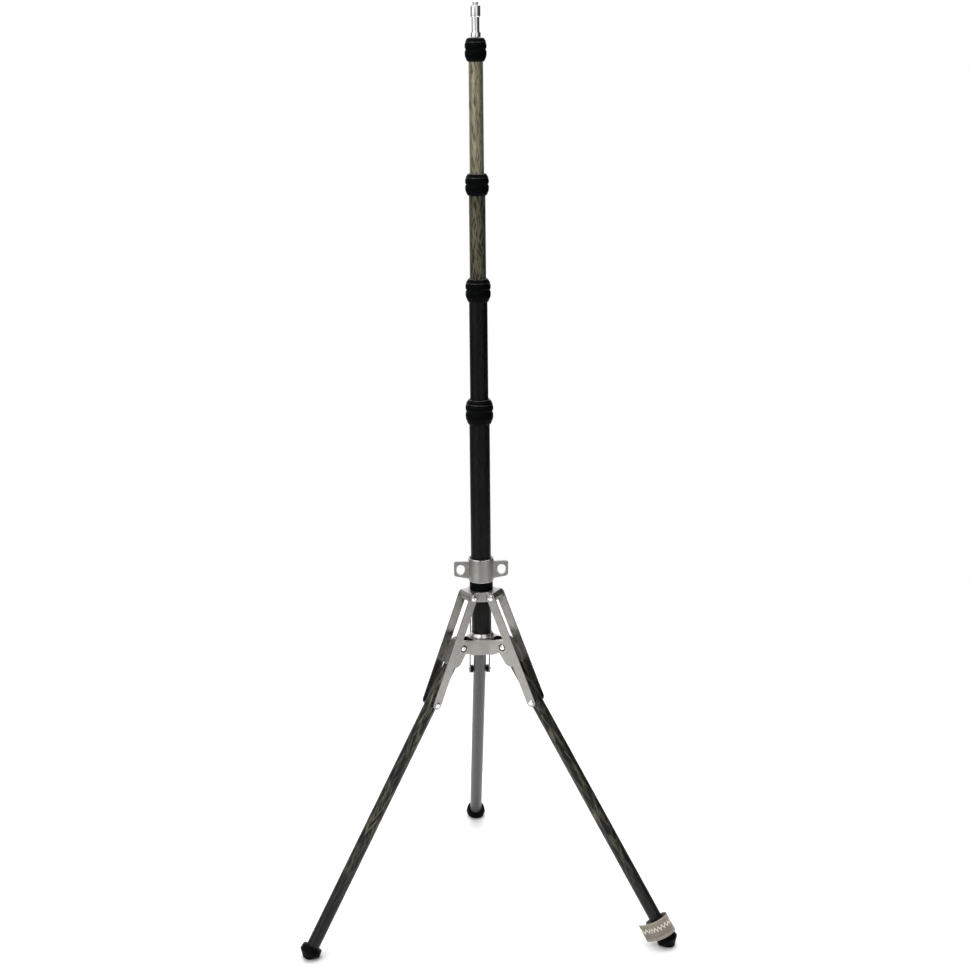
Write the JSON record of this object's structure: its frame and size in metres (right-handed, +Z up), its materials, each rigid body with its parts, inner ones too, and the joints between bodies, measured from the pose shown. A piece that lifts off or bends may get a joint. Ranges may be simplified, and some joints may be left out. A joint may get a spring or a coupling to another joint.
{
  "type": "folding telescopic travel stand",
  "caption": "Telescopic carbon column with twist locks on three reverse-folding legs, with a 16 mm spigot, an eared collar and a tie strap.",
  "frame": {"origin": "middle of the footprint box on the floor; the column axis is 82.1 mm behind it in -Y", "axes": "+Z up the column, one leg towards +Y, the other two towards -X-Y and +X-Y"},
  "size_m": [0.6064, 0.5298, 1.4749],
  "materials": {
    "carbon_dark": "clear-coated carbon, near black with long grey-olive fibre streaks",
    "carbon_olive": "clear-coated carbon, dark olive brown",
    "carbon_pale": "clear-coated carbon catching the light, olive grey",
    "black_rubber": "moulded rubber with a faint sheen",
    "black_plastic": "moulded, fine grain",
    "satin_nickel": "satin warm-grey casting",
    "arm_steel": "satin strip, brushed along its length",
    "bright_steel": "turned and polished",
    "webbing": "woven grey-brown tape with a paler zigzag line"
  },
  "bodies": {
    "column": {"column_tube_1": "carbon_dark", "lock_thread_1": "black_plastic", "lock_collet_1": "black_plastic", "lower_hub": "satin_nickel", "hub_bush": "bright_steel", "leg_pin_rear": "bright_steel", "leg_pin_left": "bright_steel", "leg_pin_right": "bright_steel"},
    "section_2": {"column_tube_2": "carbon_dark", "lock_thread_2": "black_plastic", "lock_collet_2": "black_plastic", "slide_bush_2": "black_plastic"},
    "section_3": {"column_tube_3": "carbon_olive", "lock_thread_3": "black_plastic", "lock_collet_3": "black_plastic", "slide_bush_3": "black_plastic"},
    "section_4": {"column_tube_4": "carbon_pale", "lock_thread_4": "black_plastic", "lock_collet_4": "black_plastic", "slide_bush_4": "black_plastic"},
    "section_5": {"column_tube_5": "carbon_pale", "slide_bush_5": "black_plastic", "top_plug": "black_plastic", "spigot_stud": "bright_steel"},
    "lock_1": {"twist_lock_1": "black_rubber"},
    "lock_2": {"twist_lock_2": "black_rubber"},
    "lock_3": {"twist_lock_3": "black_rubber"},
    "lock_4": {"twist_lock_4": "black_rubber"},
    "carriage": {"upper_hub": "satin_nickel", "slider_ring": "black_rubber", "clamp_collar": "satin_nickel", "arm_pin_rear": "bright_steel", "arm_pin_left": "bright_steel", "arm_pin_right": "bright_steel"},
    "knob": {"clamp_knob": "black_plastic"},
    "leg_rear": {"leg_tube_rear": "carbon_dark", "leg_fitting_rear": "satin_nickel", "pivot_spool_rear": "black_plastic", "foot_rear": "black_rubber"},
    "arms_rear": {"arm_a_rear": "arm_steel", "arm_b_rear": "arm_steel", "arm_rivet_a_rear": "bright_steel", "arm_rivet_b_rear": "bright_steel"},
    "leg_left": {"leg_tube_left": "carbon_dark", "leg_fitting_left": "satin_nickel", "pivot_spool_left": "black_plastic", "foot_left": "black_rubber"},
    "arms_left": {"arm_a_left": "arm_steel", "arm_b_left": "arm_steel", "arm_rivet_a_left": "bright_steel", "arm_rivet_b_left": "bright_steel"},
    "leg_right": {"leg_tube_right": "carbon_dark", "leg_fitting_right": "satin_nickel", "pivot_spool_right": "black_plastic", "foot_right": "black_rubber", "tie_strap": "webbing"},
    "arms_right": {"arm_a_right": "arm_steel", "arm_b_right": "arm_steel", "arm_rivet_a_right": "bright_steel", "arm_rivet_b_right": "bright_steel"}
  },
  "joints": [
    {"name": "carriage_slide", "type": "slide", "parent": "column", "child": "carriage", "axis": [0, 0, 1], "range_m": [0, 0.1983]},
    {"name": "leg_fold_rear", "type": "hinge", "parent": "column", "child": "leg_rear", "pos_m": [0, -0.03861, 0.4685], "axis": [1, 0, 0], "range_deg": [0, 147.82]},
    {"name": "arm_fold_rear", "type": "hinge", "parent": "carriage", "child": "arms_rear", "pos_m": [0, -0.05671, 0.551], "axis": [1, 0, 0], "range_deg": [-17.4, 0]},
    {"name": "leg_fold_left", "type": "hinge", "parent": "column", "child": "leg_left", "pos_m": [-0.03767, -0.10386, 0.4685], "axis": [-0.5, 0.866, 0], "range_deg": [0, 147.82]},
    {"name": "arm_fold_left", "type": "hinge", "parent": "carriage", "child": "arms_left", "pos_m": [-0.022, -0.09481, 0.551], "axis": [-0.5, 0.866, 0], "range_deg": [-17.4, 0]},
    {"name": "leg_fold_right", "type": "hinge", "parent": "column", "child": "leg_right", "pos_m": [0.03767, -0.10386, 0.4685], "axis": [-0.5, -0.866, 0], "range_deg": [0, 147.82]},
    {"name": "arm_fold_right", "type": "hinge", "parent": "carriage", "child": "arms_right", "pos_m": [0.022, -0.09481, 0.551], "axis": [-0.5, -0.866, 0], "range_deg": [-17.4, 0]},
    {"name": "section_2_slide", "type": "slide", "parent": "column", "child": "section_2", "axis": [0, 0, 1], "range_m": [-0.1495, 0.158]},
    {"name": "section_3_slide", "type": "slide", "parent": "section_2", "child": "section_3", "axis": [0, 0, 1], "range_m": [-0.122, 0.209]},
    {"name": "section_4_slide", "type": "slide", "parent": "section_3", "child": "section_4", "axis": [0, 0, 1], "range_m": [-0.161, 0.192]},
    {"name": "section_5_slide", "type": "slide", "parent": "section_4", "child": "section_5", "axis": [0, 0, 1], "range_m": [0, 0.375]},
    {"name": "lock_1_turn", "type": "hinge", "parent": "column", "child": "lock_1", "pos_m": [0, -0.08211, 0.852], "axis": [0, 0, 1], "range_deg": [0, 90]},
    {"name": "lock_2_turn", "type": "hinge", "parent": "section_2", "child": "lock_2", "pos_m": [0, -0.08211, 1.0445], "axis": [0, 0, 1], "range_deg": [0, 90]},
    {"name": "lock_3_turn", "type": "hinge", "parent": "section_3", "child": "lock_3", "pos_m": [0, -0.08211, 1.20615], "axis": [0, 0, 1], "range_deg": [0, 90]},
    {"name": "lock_4_turn", "type": "hinge", "parent": "section_4", "child": "lock_4", "pos_m": [0, -0.08211, 1.4058], "axis": [0, 0, 1], "range_deg": [0, 90]},
    {"name": "knob_turn", "type": "hinge", "parent": "carriage", "child": "knob", "pos_m": [0, -0.05611, 0.5913], "axis": [0, 1, 0], "range_deg": [0, 270]}
  ],
  "couplings": [
    {"joint": "leg_fold_rear", "follows": "carriage_slide", "rad_per_m": 13.01},
    {"joint": "arm_fold_rear", "follows": "carriage_slide", "rad_per_m": -1.5316},
    {"joint": "leg_fold_left", "follows": "carriage_slide", "rad_per_m": 13.01},
    {"joint": "arm_fold_left", "follows": "carriage_slide", "rad_per_m": -1.5316},
    {"joint": "leg_fold_right", "follows": "carriage_slide", "rad_per_m": 13.01},
    {"joint": "arm_fold_right", "follows": "carriage_slide", "rad_per_m": -1.5316}
  ]
}
